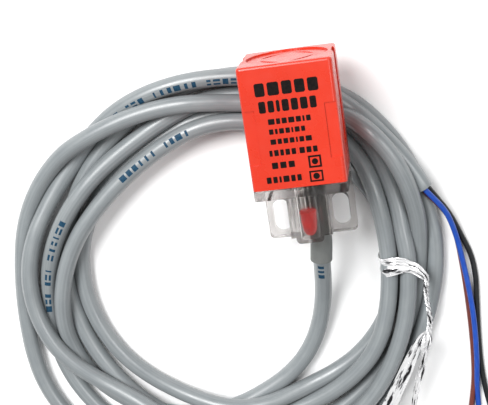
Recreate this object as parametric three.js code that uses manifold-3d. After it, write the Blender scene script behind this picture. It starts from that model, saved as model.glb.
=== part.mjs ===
// Block-style inductive proximity sensor with a moulded-in cable.
// Units are millimetres. +Y is the sensing direction, +Z points out of the label face, and the
// origin is the centre of the recessed sensing disc.

import * as THREE from 'three';
import { mergeVertices } from 'three/addons/utils/BufferGeometryUtils.js';
import Module from 'manifold-3d';

const wasm = await Module();
wasm.setup();

// ---- Driving dimensions -------------------------------------------------------------------

const GAP = 0.3; // clearance between neighbouring pieces
const GRID = 0.001; // all vertices lie on this grid

// Housing
const BODY = 25; // width and depth of the square body
const HALF = BODY / 2;
const RIM = 0.5; // height of the rim around the sensing disc
const HOUSING_END = -32.5;
const CORNER_R = 1.2;
const EDGE_ROUND = 0.7;
const CAVITY_X = 10.7; // half width inside
const CAVITY_Z = 11.2; // half depth inside
const FRONT_WALL = 1.6;
const DISC_R = 11;
const POCKET_R = 7.2;
const POCKET_DEPTH = 0.4;
const CROSS_HALF = 1.3; // half width of the cross between the four pockets
const PANEL_INNER_X = 9.1; // shallow finger panels beside the label
const PANEL_TOP = -11;
const PANEL_END = -25.6;
const PANEL_DEPTH = 0.35;
const CHANNEL_Z = [-5.6, 1.2]; // guide channel along each side
const CHANNEL_END = -25.2;
const CHANNEL_DEPTH = 0.7;

// Clear mounting base
const PLATE_START = HOUSING_END - GAP;
const PLATE_END = -35.3;
const PLUG_START = -29.6;
const PLUG_WALL = 1;
const BASE_END = -52.4;
const FLANGE_THICK = 3;
const FLANGE_CORNER_R = 1.3;
const SLOT_X = 8.4;
const SLOT_WIDTH = 4.8;
const SLOT_LENGTH = 9.8;
const SLOT_Y = -46;
const GLAND_HALF = 5.8; // block around the cable
const GLAND_TOP_Z = -2.2;
const BOSS_HALF = 3.8; // window block around the indicator
const BOSS_TOP_Z = 3.6;
const BOSS_END = -50.8;
const BOSS_CORNER_R = 1.3;

// Indicator
const LED_Z = 0.3;
const LED_BORE_R = 2.8;
const LED_BORE_END = -50;
const LED_RIM_R = 2.7;
const LED_BODY_R = 2.5;
const LED_TIP_R = 1.6;
const LED_TOP = -42.2;
const LED_TIP = -49.7;
const LEAD_PITCH = 1.9;
const LEAD_SIZE = 0.5;

// Sensing coil
const CORE_R = 9.5;
const CORE_FRONT = -2;
const CORE_BACK = -7;
const CORE_BORE_R = 1.2;
const CORE_POST_R = 3.9;
const CORE_SKIRT_R = 8.3;
const GROOVE_BOTTOM = -5.7;

// Circuit board
const BOARD_HALF = 9;
const BOARD_TOP = -8;
const BOARD_END = -29.2;
const BOARD_Z = [-1.6, -0.4];

// Cable
const CABLE_R = 2.5;
const CABLE_X = 2;
const CABLE_Z = -6;
const JACKET_START = -30.5;
const SLEEVE_INNER_R = 2.72;
const SLEEVE_OUTER_R = 3.1;
const SLEEVE_BORE_R = 3.4;
const SLEEVE_COLLAR_R = 3.6;
const WIRE_R = 0.8;
const STRIP_LENGTH = 6; // bare tinned end of each wire

// Coil of spare cable, lying under the sensor
const COIL_CENTRE = [-29, -65];
const COIL_INNER_R = 42;
const COIL_OUTER_R = 63;
const COIL_TOP_Z = -13.1;
const FLOOR_Z = -23.4;
const COIL_ROUND = 3;
const TIE_WIDTH = 4.4;
const TIE_THICK = 0.4;
const TIE_ANGLE = -0.07; // position of the tie around the coil, radians from +X

// ---- Geometry helpers ---------------------------------------------------------------------

function signedVolume(geometry) {
  const position = geometry.getAttribute('position');
  const index = geometry.getIndex();
  const a = new THREE.Vector3();
  const b = new THREE.Vector3();
  const c = new THREE.Vector3();
  let volume = 0;
  for (let i = 0; i < index.count; i += 3) {
    a.fromBufferAttribute(position, index.getX(i));
    b.fromBufferAttribute(position, index.getX(i + 1));
    c.fromBufferAttribute(position, index.getX(i + 2));
    volume += a.dot(b.cross(c)) / 6;
  }
  return volume;
}

// Snap to a fine grid, merge coincident vertices, drop collapsed triangles and turn faces outward.
function closed(source) {
  const bare = source.clone();
  bare.deleteAttribute('normal');
  bare.deleteAttribute('uv');
  const coordinates = bare.getAttribute('position').array;
  for (let i = 0; i < coordinates.length; i += 1) coordinates[i] = Math.round(coordinates[i] / GRID) * GRID;
  const merged = mergeVertices(bare, 1e-4);
  const index = merged.getIndex();
  const kept = [];
  for (let i = 0; i < index.count; i += 3) {
    const [p, q, r] = [index.getX(i), index.getX(i + 1), index.getX(i + 2)];
    if (p !== q && q !== r && r !== p) kept.push(p, q, r);
  }
  merged.setIndex(kept);
  if (signedVolume(merged) < 0) {
    for (let i = 0; i < kept.length; i += 3) [kept[i + 1], kept[i + 2]] = [kept[i + 2], kept[i + 1]];
    merged.setIndex(kept);
  }
  return merged;
}

function toSolid(source) {
  const geometry = closed(source);
  const vertProperties = new Float32Array(geometry.getAttribute('position').array);
  const triVerts = new Uint32Array(geometry.getIndex().array);
  return new wasm.Manifold(new wasm.Mesh({ numProp: 3, vertProperties, triVerts }));
}

function toGeometry(solid) {
  const mesh = solid.getMesh();
  const geometry = new THREE.BufferGeometry();
  geometry.setAttribute('position', new THREE.BufferAttribute(new Float32Array(mesh.vertProperties), 3));
  geometry.setIndex(Array.from(mesh.triVerts));
  return geometry;
}

function join(...geometries) {
  return toGeometry(geometries.map(toSolid).reduce((sum, next) => sum.add(next)));
}

function cut(body, ...tools) {
  return toGeometry(tools.map(toSolid).reduce((rest, tool) => rest.subtract(tool), toSolid(body)));
}

// Box between two limits on each axis.
function block([x0, x1], [y0, y1], [z0, z1]) {
  const box = new THREE.BoxGeometry(Math.abs(x1 - x0), Math.abs(y1 - y0), Math.abs(z1 - z0));
  return box.translate((x0 + x1) / 2, (y0 + y1) / 2, (z0 + z1) / 2);
}

// Rectangle with a radius for each corner, listed from lower left, anticlockwise.
function roundedRect([x0, x1], [y0, y1], radii) {
  const corners = [[x0, y0, 1, 1], [x1, y0, -1, 1], [x1, y1, -1, -1], [x0, y1, 1, -1]];
  const shape = new THREE.Shape();
  corners.forEach(([x, y, inX, inY], i) => {
    const radius = radii[i];
    const start = Math.PI + (i * Math.PI) / 2;
    if (radius > 0) shape.absarc(x + inX * radius, y + inY * radius, radius, start, start + Math.PI / 2);
    else if (i === 0) shape.moveTo(x, y);
    else shape.lineTo(x, y);
  });
  return shape;
}

// Extrude a shape drawn in X and Z along the sensor's axis.
function alongY(shape, yStart, yEnd, curveSegments = 6) {
  const depth = yStart - yEnd;
  const body = new THREE.ExtrudeGeometry(shape, { depth, bevelEnabled: false, curveSegments });
  return body.rotateX(Math.PI / 2).translate(0, yStart, 0);
}

// Extrude a shape drawn in X and Y upwards.
function alongZ(shape, zStart, zEnd, curveSegments = 6) {
  const depth = zEnd - zStart;
  const body = new THREE.ExtrudeGeometry(shape, { depth, bevelEnabled: false, curveSegments });
  return body.translate(0, 0, zStart);
}

// Turned piece about an axis parallel to Y.
function turned(profile, x = 0, z = 0, segments = 40) {
  const points = profile.map(([radius, y]) => new THREE.Vector2(radius, y));
  return new THREE.LatheGeometry(points, segments).translate(x, 0, z);
}

function rod(radius, yStart, yEnd, x = 0, z = 0, segments = 32) {
  return turned([[0, yEnd], [radius, yEnd], [radius, yStart], [0, yStart]], x, z, segments);
}

// Section swept along a smooth curve through the given points.
function swept(section, points, steps) {
  const extrudePath = new THREE.CatmullRomCurve3(points.map((p) => new THREE.Vector3(...p)));
  return new THREE.ExtrudeGeometry(section, { extrudePath, steps, bevelEnabled: false, curveSegments: 1 });
}

function polygon(radius, sides) {
  const corners = [];
  for (let i = 0; i < sides; i += 1) {
    const angle = (2 * Math.PI * i) / sides;
    corners.push(new THREE.Vector2(radius * Math.cos(angle), radius * Math.sin(angle)));
  }
  return new THREE.Shape(corners);
}

function cordTube(radius, points, steps, sides = 10) {
  return swept(polygon(radius, sides), points, steps);
}

function onCoil(radius, angle, z) {
  return [COIL_CENTRE[0] + radius * Math.cos(angle), COIL_CENTRE[1] + radius * Math.sin(angle), z];
}

// ---- Materials ----------------------------------------------------------------------------

function finish(color, roughness, metalness = 0, opacity = 1) {
  return new THREE.MeshStandardMaterial({ color, roughness, metalness, opacity, transparent: opacity < 1 });
}

const orangePlastic = finish(0xf0412d, 0.3);
const clearPlastic = finish(0xd9d8d4, 0.12, 0, 0.4);
const ferrite = finish(0x2e2d30, 0.7);
const bobbinPlastic = finish(0xe9e4d6, 0.5);
const copper = finish(0xb4632c, 0.35, 0.9);
const boardGreen = finish(0x2f6b3c, 0.45);
const blackEpoxy = finish(0x1b1b1d, 0.5);
const ceramic = finish(0xb59a78, 0.5);
const tinned = finish(0xc9cbcd, 0.3, 1);
const redLens = finish(0xc9251b, 0.15, 0, 0.85);
const greyRubber = finish(0x72746f, 0.6);
const greyJacket = finish(0x8d9396, 0.5);
const brownJacket = finish(0x6b3a2a, 0.45);
const blueJacket = finish(0x2a5bd0, 0.4);
const blackJacket = finish(0x1a1a1b, 0.45);
const foil = finish(0xdcdde0, 0.2, 1);

const sensor = new THREE.Group();

function addPiece(name, geometry, material) {
  const solid = closed(geometry);
  solid.computeVertexNormals();
  const piece = new THREE.Mesh(solid, material);
  piece.name = name;
  sensor.add(piece);
}

// ---- Housing ------------------------------------------------------------------------------

function squareSection(halfX, halfZ, radius) {
  return roundedRect([-halfX, halfX], [-halfZ, halfZ], Array(4).fill(radius));
}

function housing() {
  const inset = HALF - EDGE_ROUND;
  const shell = new THREE.ExtrudeGeometry(squareSection(inset, inset, CORNER_R - EDGE_ROUND), {
    depth: BODY * 2,
    bevelEnabled: true,
    bevelSize: EDGE_ROUND,
    bevelThickness: EDGE_ROUND,
    bevelSegments: 3,
    curveSegments: 4,
  });
  shell.rotateX(Math.PI / 2).translate(0, RIM - EDGE_ROUND, 0);
  const far = [-BODY, BODY];
  const tools = [
    block(far, [HOUSING_END, HOUSING_END - 3 * BODY], far),
    alongY(squareSection(CAVITY_X, CAVITY_Z, 0.8), -FRONT_WALL, HOUSING_END - 1),
    rod(DISC_R, RIM + 1, 0, 0, 0, 64),
  ];
  for (const side of [-1, 1]) {
    tools.push(block([side * PANEL_INNER_X, side * (HALF + 1)], [PANEL_TOP, PANEL_END],
      [HALF - PANEL_DEPTH, HALF + 1]));
    tools.push(block([side * (HALF - CHANNEL_DEPTH), side * (HALF + 1)], [RIM + 1, CHANNEL_END],
      CHANNEL_Z));
  }
  return cut(cut(shell, ...tools), ...pockets());
}

// Four quarter-round pockets in the sensing disc, separated by a cross.
function pockets() {
  const cutters = [];
  const start = Math.asin(CROSS_HALF / POCKET_R);
  for (let quadrant = 0; quadrant < 4; quadrant += 1) {
    const turn = (quadrant * Math.PI) / 2;
    const shape = new THREE.Shape();
    shape.moveTo(CROSS_HALF, CROSS_HALF);
    shape.absarc(0, 0, POCKET_R, start, Math.PI / 2 - start);
    shape.closePath();
    cutters.push(alongY(shape, 1, -POCKET_DEPTH, 10).rotateY(turn));
  }
  return cutters;
}

addPiece('housing', housing(), orangePlastic);

// ---- Clear mounting base ------------------------------------------------------------------

function slotShape(x) {
  const radius = SLOT_WIDTH / 2;
  const yEdges = [SLOT_Y - SLOT_LENGTH / 2, SLOT_Y + SLOT_LENGTH / 2];
  return roundedRect([x - radius, x + radius], yEdges, Array(4).fill(radius));
}

function mountingBase() {
  const plugX = CAVITY_X - GAP;
  const plugZ = CAVITY_Z - GAP;
  const plug = cut(
    alongY(squareSection(plugX, plugZ, 0.6), PLUG_START, PLATE_START - 1),
    block([PLUG_WALL - plugX, plugX - PLUG_WALL], [PLUG_START + 1, PLATE_START],
      [PLUG_WALL - plugZ, plugZ - PLUG_WALL]),
  );
  const plate = alongY(squareSection(HALF, HALF, CORNER_R), PLATE_START, PLATE_END);
  const lowerRound = [FLANGE_CORNER_R, FLANGE_CORNER_R, 0, 0];
  const inPlate = (PLATE_START + PLATE_END) / 2;
  const flange = alongZ(roundedRect([-HALF, HALF], [BASE_END, inPlate], lowerRound),
    -HALF, FLANGE_THICK - HALF);
  const gland = block([-GLAND_HALF, GLAND_HALF], [inPlate, BOSS_END], [1 - HALF, GLAND_TOP_Z]);
  const bossRound = [BOSS_CORNER_R, BOSS_CORNER_R, 0, 0];
  const boss = alongZ(roundedRect([-BOSS_HALF, BOSS_HALF], [BOSS_END, inPlate], bossRound),
    GLAND_TOP_Z - 1, BOSS_TOP_Z);
  return cut(
    join(plug, plate, flange, gland, boss),
    alongZ(slotShape(-SLOT_X), -BODY, 0, 8),
    alongZ(slotShape(SLOT_X), -BODY, 0, 8),
    rod(SLEEVE_BORE_R, PLATE_START + 1, BASE_END - 1, CABLE_X, CABLE_Z),
    rod(LED_BORE_R, PLATE_START + 1, LED_BORE_END, 0, LED_Z),
  );
}

addPiece('mounting_base', mountingBase(), clearPlastic);

// ---- Indicator ----------------------------------------------------------------------------

const ledProfile = [
  [0, LED_TIP],
  [LED_TIP_R * 0.6, LED_TIP + 0.15],
  [LED_TIP_R, LED_TIP + 0.8],
  [LED_BODY_R, LED_TOP - 0.9],
  [LED_RIM_R, LED_TOP - 0.9],
  [LED_RIM_R, LED_TOP],
  [0, LED_TOP],
];
addPiece('indicator_led', turned(ledProfile, 0, LED_Z, 32), redLens);

const leadZ = [BOARD_Z[1] + GAP, BOARD_Z[1] + GAP + LEAD_SIZE];
const leadY = [LED_TOP + GAP, BOARD_END + 2.2];
for (const [name, side] of [['led_lead_anode', -1], ['led_lead_cathode', 1]]) {
  const centre = (side * LEAD_PITCH) / 2;
  const leadX = [centre - LEAD_SIZE / 2, centre + LEAD_SIZE / 2];
  addPiece(name, block(leadX, leadY, leadZ), tinned);
}

// ---- Sensing coil -------------------------------------------------------------------------

const coreProfile = [
  [CORE_BORE_R, CORE_BACK],
  [CORE_R, CORE_BACK],
  [CORE_R, CORE_FRONT],
  [CORE_SKIRT_R, CORE_FRONT],
  [CORE_SKIRT_R, GROOVE_BOTTOM],
  [CORE_POST_R, GROOVE_BOTTOM],
  [CORE_POST_R, CORE_FRONT],
  [CORE_BORE_R, CORE_FRONT],
  [CORE_BORE_R, CORE_BACK],
];
addPiece('ferrite_core', turned(coreProfile, 0, 0, 48), ferrite);

const bobbinWall = 0.5;
const bobbinBack = GROOVE_BOTTOM + GAP;
const bobbinFront = CORE_FRONT - 0.1;
const bobbinInner = CORE_POST_R + GAP;
const bobbinOuter = CORE_SKIRT_R - GAP;
const bobbinProfile = [
  [bobbinInner, bobbinBack],
  [bobbinOuter, bobbinBack],
  [bobbinOuter, bobbinBack + bobbinWall],
  [bobbinInner + bobbinWall, bobbinBack + bobbinWall],
  [bobbinInner + bobbinWall, bobbinFront - bobbinWall],
  [bobbinOuter, bobbinFront - bobbinWall],
  [bobbinOuter, bobbinFront],
  [bobbinInner, bobbinFront],
  [bobbinInner, bobbinBack],
];
addPiece('coil_bobbin', turned(bobbinProfile, 0, 0, 48), bobbinPlastic);

const windingGap = 0.15;
const windingInner = bobbinInner + bobbinWall + windingGap;
const windingOuter = bobbinOuter - 0.4;
const windingBack = bobbinBack + bobbinWall + windingGap;
const windingFront = bobbinFront - bobbinWall - windingGap;
const windingProfile = [
  [windingInner, windingBack],
  [windingOuter, windingBack],
  [windingOuter, windingFront],
  [windingInner, windingFront],
  [windingInner, windingBack],
];
addPiece('coil_winding', turned(windingProfile, 0, 0, 48), copper);

// ---- Electronics --------------------------------------------------------------------------

addPiece('circuit_board', block([-BOARD_HALF, BOARD_HALF], [BOARD_TOP, BOARD_END], BOARD_Z), boardGreen);

// Surface-mount pieces: centre on the board, footprint and height.
const boardParts = [
  ['oscillator_ic', -3.2, -14.2, 5, 6, 1.6, blackEpoxy],
  ['output_transistor', 4.4, -20.5, 3.6, 6.4, 1.7, blackEpoxy],
  ['surge_diode', -5.2, -21.6, 4.4, 2.6, 1.9, blackEpoxy],
  ['reverse_diode', -5.2, -25.8, 4.4, 2.6, 1.9, blackEpoxy],
  ['sensitivity_resistor', 4.2, -11.4, 3.2, 1.6, 0.6, blackEpoxy],
  ['led_resistor', 4.2, -14.2, 3.2, 1.6, 0.6, blackEpoxy],
  ['tuning_capacitor', -3.2, -9.9, 3.2, 1.8, 1.2, ceramic],
  ['supply_capacitor', 0.2, -20.2, 2.4, 3.4, 1.4, ceramic],
];
for (const [name, x, y, width, length, height, material] of boardParts) {
  const base = BOARD_Z[1] + GAP;
  addPiece(name, block([x - width / 2, x + width / 2], [y - length / 2, y + length / 2],
    [base, base + height]), material);
}

// Resin behind the board, with a bay where the cable's wires fan out.
const resinX = CAVITY_X - GAP;
addPiece('potting_resin', cut(
  block([-resinX, resinX], [BOARD_TOP - 0.5, BOARD_END], [GAP - CAVITY_Z, BOARD_Z[0] - GAP]),
  block([-2.4, 6.8], [-22.5, BOARD_END - 1], [-9, BOARD_Z[0]]),
), blackEpoxy);

// ---- Cable entry --------------------------------------------------------------------------

const sleeveStart = PLATE_START + 2 * GAP;
const sleeveEnd = [1.2, -59.2, -6.9];
const exitPath = [
  [CABLE_X, sleeveStart, CABLE_Z],
  [CABLE_X, -42, CABLE_Z],
  [CABLE_X, -49, CABLE_Z],
  [CABLE_X, -53, CABLE_Z],
  sleeveEnd,
];

function ringSection(outer, inner, sides) {
  const section = polygon(outer, sides);
  section.holes.push(polygon(inner, sides));
  return section;
}

function collarRing() {
  const back = sleeveStart;
  const front = sleeveStart + 1.4;
  return turned([
    [SLEEVE_INNER_R, back],
    [SLEEVE_COLLAR_R, back],
    [SLEEVE_COLLAR_R, front],
    [SLEEVE_INNER_R, front],
    [SLEEVE_INNER_R, back],
  ], CABLE_X, CABLE_Z, 24);
}

const sleeve = swept(ringSection(SLEEVE_OUTER_R, SLEEVE_INNER_R, 24), exitPath, 14);
addPiece('strain_relief', join(sleeve, collarRing()), greyRubber);

// Wires inside the housing, from the end of the jacket to the back of the board.
const innerWires = [
  ['inner_wire_brown', -1, brownJacket],
  ['inner_wire_blue', 0, blueJacket],
  ['inner_wire_black', 1, blackJacket],
];
for (const [name, place, material] of innerWires) {
  const spread = place * 1.9;
  const wireZ = BOARD_Z[0] - GAP - WIRE_R;
  addPiece(name, cordTube(WIRE_R, [
    [CABLE_X + spread * 0.9, JACKET_START + GAP, CABLE_Z],
    [CABLE_X + spread, -27.6, CABLE_Z + 1.4],
    [CABLE_X + spread, -25.4, wireZ - 0.3],
    [CABLE_X + spread, -23.2, wireZ],
  ], 10, 8), material);
}

// ---- Free cable ---------------------------------------------------------------------------

const restZ = FLOOR_Z + CABLE_R;
addPiece('cable_lead', cordTube(CABLE_R, [
  [CABLE_X, JACKET_START, CABLE_Z],
  [CABLE_X, -42, CABLE_Z],
  [CABLE_X, -49, CABLE_Z],
  [CABLE_X, -53, CABLE_Z],
  sleeveEnd,
  [-0.6, -70, -10.6],
  [-2.4, -79, -15.4],
  [-6, -88, -19.4],
  [-10.4, -95, restZ],
  [-17.2, -103.2, restZ],
], 30), greyJacket);

// The coil's envelope, with a shallow waist where the tie grips it.
function cableCoil() {
  const [inner, outer] = [COIL_INNER_R, COIL_OUTER_R];
  const corners = roundedRect([inner, outer], [FLOOR_Z, COIL_TOP_Z], Array(4).fill(COIL_ROUND));
  const outline = corners.getPoints(3);
  outline.push(outline[0].clone());
  const ring = new THREE.LatheGeometry(outline, 72).rotateX(Math.PI / 2);
  ring.translate(COIL_CENTRE[0], COIL_CENTRE[1], 0);
  const waist = TIE_THICK + GAP;
  const keep = [
    [inner + waist, outer - waist],
    [FLOOR_Z + waist, COIL_TOP_Z - waist],
  ];
  const halfWaist = TIE_WIDTH / 2 + GAP;
  const girdle = cut(
    block([inner - 5, outer + 5], [-halfWaist, halfWaist], [FLOOR_Z - 5, COIL_TOP_Z + 5]),
    block(keep[0], [-halfWaist - 1, halfWaist + 1], keep[1]),
  );
  girdle.rotateZ(TIE_ANGLE).translate(COIL_CENTRE[0], COIL_CENTRE[1], 0);
  return cut(ring, girdle);
}

addPiece('cable_coil', cableCoil(), greyJacket);

// Free end of the cable, beside the coil, then the three stripped wires.
const tailR = COIL_OUTER_R + GAP + CABLE_R;
const tailStart = 0.66;
const tailEnd = 0.31;
const tailPath = [0, 1, 2, 3].map((i) => onCoil(tailR, tailStart + ((tailEnd - tailStart) * i) / 3, restZ));
addPiece('cable_tail', cordTube(CABLE_R, tailPath, 5), greyJacket);

// Sideways offset and height of each wire at the jacket, and its course along the floor.
const wires = [
  ['brown', 1.0, -0.7, -3.6, -2.6, brownJacket],
  ['blue', -0.2, 1.0, 0, 0, blueJacket],
  ['black', -1.0, -0.8, 3.4, 2.6, blackJacket],
];
const wireFloor = FLOOR_Z + WIRE_R;
for (const [colour, side, lift, spreadMid, spreadEnd, material] of wires) {
  const start = onCoil(tailR - side, tailEnd - 0.006, restZ + lift);
  const path = [
    start,
    [start[0] + 2.1, start[1] - 6, restZ + lift - 0.5],
    [39.2 + spreadMid * 0.4, -62, wireFloor + (lift + 0.8)],
    [42.2 + spreadMid, -84, wireFloor],
    [41.6 + (spreadMid + spreadEnd) / 2, -102, wireFloor],
    [40.4 + spreadEnd, -118, wireFloor],
  ];
  addPiece(`wire_${colour}`, cordTube(WIRE_R, path, 26, 8), material);
  const tipStart = [40.4 + spreadEnd - 0.02, -118 - GAP, wireFloor];
  const tipEnd = [40.1 + spreadEnd, -118 - GAP - STRIP_LENGTH, wireFloor];
  addPiece(`wire_tip_${colour}`, cordTube(WIRE_R * 0.6, [tipStart, tipEnd], 2, 8), tinned);
}

// ---- Twist tie ----------------------------------------------------------------------------

// Band around the coil, a twisted neck on top and two flat tails.
function twistTie() {
  const [inner, outer] = [COIL_INNER_R + GAP, COIL_OUTER_R - GAP];
  const [low, high] = [FLOOR_Z + GAP, COIL_TOP_Z - GAP];
  const halfWidth = TIE_WIDTH / 2;
  const band = cut(
    block([inner, outer], [-halfWidth, halfWidth], [low, high]),
    block([inner + TIE_THICK, outer - TIE_THICK], [-BODY, BODY], [low + TIE_THICK, high - TIE_THICK]),
  );
  band.rotateZ(TIE_ANGLE).translate(COIL_CENTRE[0], COIL_CENTRE[1], 0);
  const neckR = 0.7;
  const neckZ = COIL_TOP_Z + GAP + neckR;
  const foot = onCoil(COIL_OUTER_R - 3.4, TIE_ANGLE, high + 0.4);
  const neck = cordTube(neckR, [
    [foot[0], foot[1] + 1.4, foot[2]],
    [foot[0] + 0.1, foot[1] - 1.6, neckZ],
    [foot[0] + 0.2, foot[1] - 8, neckZ],
    [foot[0] - 0.6, foot[1] - 15.5, neckZ],
  ], 8, 8);
  const knot = [foot[0] - 0.5, foot[1] - 15, neckZ];
  const strip = new THREE.Shape([
    new THREE.Vector2(-0.25, -1.5),
    new THREE.Vector2(0.25, -1.5),
    new THREE.Vector2(0.25, 1.5),
    new THREE.Vector2(-0.25, 1.5),
  ]);
  const tails = [[-11.5, -27], [-7, -28]].map(([dx, dy]) => swept(strip, [
    knot,
    [knot[0] + dx * 0.4, knot[1] + dy * 0.4, neckZ - 0.2],
    [knot[0] + dx, knot[1] + dy, neckZ - 3],
  ], 6));
  return join(band, neck, ...tails);
}

addPiece('twist_tie', twistTie(), foil);

export default sensor;
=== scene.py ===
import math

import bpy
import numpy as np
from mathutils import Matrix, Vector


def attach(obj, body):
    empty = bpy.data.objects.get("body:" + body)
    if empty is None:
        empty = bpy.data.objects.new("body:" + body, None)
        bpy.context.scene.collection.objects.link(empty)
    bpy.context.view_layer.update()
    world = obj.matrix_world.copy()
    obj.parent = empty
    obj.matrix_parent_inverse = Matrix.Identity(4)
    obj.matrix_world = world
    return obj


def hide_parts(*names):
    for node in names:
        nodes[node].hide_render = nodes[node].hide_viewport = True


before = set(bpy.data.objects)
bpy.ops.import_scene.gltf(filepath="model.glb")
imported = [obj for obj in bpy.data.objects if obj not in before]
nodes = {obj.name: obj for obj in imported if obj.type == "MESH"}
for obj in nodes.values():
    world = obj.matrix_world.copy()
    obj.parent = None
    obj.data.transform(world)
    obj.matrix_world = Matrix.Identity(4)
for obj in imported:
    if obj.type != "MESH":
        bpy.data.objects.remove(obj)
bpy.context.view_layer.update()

# Looks of a block-style inductive proximity sensor with its coiled cable.
#
# Most CAD nodes of the sensor keep their shapes and get detailed materials. The cable, the
# three stripped wires, the indicator lens, the foil tie and the printing are built here.
# Lengths are millimetres, scaled to metres by MM where Blender or the frame takes them,
# except in the materials and lights, which are in metres.

MM = 0.001
UP = np.array([0, 0, 1.0])

# ---- Camera -------------------------------------------------------------------------------

# Its place, and the directions to the right, to the top and back towards the viewer.
CAMERA_AT = (31.42, 48.35, 322.17)
CAMERA_RIGHT = (0.98331, -0.14554, -0.10913)
CAMERA_UP = (0.11103, 0.95537, -0.27376)
CAMERA_BACK = (0.14411, 0.25707, 0.95559)
CAMERA_LENS = 90.53
CAMERA_SENSOR = 36.0
NEAREST, FARTHEST = 0.01, 20  # metres


def make_camera():
    data = bpy.data.cameras.new("camera")
    data.lens = CAMERA_LENS
    data.sensor_fit = "HORIZONTAL"
    data.sensor_width = CAMERA_SENSOR
    data.clip_start, data.clip_end = NEAREST, FARTHEST
    camera = bpy.data.objects.new("camera", data)
    bpy.context.scene.collection.objects.link(camera)
    turn = Matrix((CAMERA_RIGHT, CAMERA_UP, CAMERA_BACK)).transposed().to_4x4()
    camera.matrix_world = Matrix.Translation(Vector(CAMERA_AT) * MM) @ turn
    bpy.context.scene.camera = camera


make_camera()

# ---- Mesh helpers -------------------------------------------------------------------------

SPLINE_STEPS = 24  # between two knots, before the points are spaced evenly


def make_object(name, points, faces, uv=None, smooth=True):
    """A mesh object from points in millimetres and lists of corner numbers."""
    mesh = bpy.data.meshes.new(name)
    mesh.from_pydata([tuple(p) for p in np.asarray(points, float) * MM], [], faces)
    if uv is not None:
        layer = mesh.uv_layers.new(name="uv")
        layer.data.foreach_set("uv", np.asarray(uv, np.float32).ravel())
    mesh.polygons.foreach_set("use_smooth", [smooth] * len(mesh.polygons))
    mesh.update()
    obj = bpy.data.objects.new(name, mesh)
    bpy.context.scene.collection.objects.link(obj)
    return obj


def finish_piece(obj, material):
    """Gives a new piece its material and lets it ride on the one body."""
    obj.data.materials.clear()
    obj.data.materials.append(material)
    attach(obj, "root")
    return obj


def along(points):
    """The distance of each point along the line from its start."""
    steps = np.linalg.norm(np.diff(points, axis=0), axis=1)
    return np.concatenate([[0], np.cumsum(steps)])


def respaced(points, step):
    """The same line with evenly spaced points."""
    points = np.asarray(points, float)
    s = along(points)
    at = np.linspace(0, s[-1], int(round(s[-1] / step)) + 1)
    return np.stack([np.interp(at, s, points[:, k]) for k in range(3)], axis=1)


def spline(knots, step):
    """A smooth line through the knots (Catmull-Rom), evenly spaced."""
    k = np.asarray(knots, float)
    k = np.vstack([2 * k[0] - k[1], k, 2 * k[-1] - k[-2]])
    out = []
    for a, b, c, d in zip(k[:-3], k[1:-2], k[2:-1], k[3:]):
        for t in np.linspace(0, 1, SPLINE_STEPS, endpoint=False):
            out.append(0.5 * (2 * b + (c - a) * t + (2 * a - 5 * b + 4 * c - d) * t**2
                              + (3 * b - a - 3 * c + d) * t**3))
    out.append(k[-2])
    return respaced(out, step)


def frames_of(line):
    """Tangent, upward normal and sideways normal at each point of a mostly level line."""
    tangent = np.gradient(line, axis=0)
    tangent /= np.linalg.norm(tangent, axis=1)[:, None]
    up = UP - tangent[:, 2:3] * tangent
    up /= np.linalg.norm(up, axis=1)[:, None]
    return tangent, up, np.cross(tangent, up)


def ring_of(centre, up, side, radius, angles):
    return centre + radius * (np.cos(angles)[:, None] * up + np.sin(angles)[:, None] * side)


def tube(name, line, radius, sides, start_profile=(), end_profile=()):
    """A tube round a line. A profile lists extra rings: share of the radius, distance past the end."""
    tangent, up, side = frames_of(line)
    angles = np.linspace(0, 2 * math.pi, sides, endpoint=False)
    s = along(line)
    rings, lengths = [], []
    for share, beyond in reversed(list(start_profile)):
        centre = line[0] - beyond * tangent[0]
        rings.append(ring_of(centre, up[0], side[0], radius * share, angles))
        lengths.append(-beyond)
    for i in range(len(line)):
        rings.append(ring_of(line[i], up[i], side[i], radius, angles))
        lengths.append(s[i])
    for share, beyond in end_profile:
        centre = line[-1] + beyond * tangent[-1]
        rings.append(ring_of(centre, up[-1], side[-1], radius * share, angles))
        lengths.append(s[-1] + beyond)
    faces, uv = [], []
    for r in range(len(rings) - 1):
        for a in range(sides):
            b = (a + 1) % sides
            faces.append((r * sides + a, r * sides + b, (r + 1) * sides + b, (r + 1) * sides + a))
            left, right = a / sides, (a + 1) / sides
            low, high = lengths[r] * MM, lengths[r + 1] * MM
            uv += [(left, low), (right, low), (right, high), (left, high)]
    last = (len(rings) - 1) * sides
    faces.append(tuple(reversed(range(sides))))
    uv += [(0, lengths[0] * MM)] * sides
    faces.append(tuple(range(last, last + sides)))
    uv += [(0, lengths[-1] * MM)] * sides
    return make_object(name, np.vstack(rings), faces, uv)


# ---- Materials ----------------------------------------------------------------------------

# Colours are linear. Nearly all values of a noise texture lie between these two.
NOISE_LOW, NOISE_HIGH = 0.3, 0.7


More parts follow.
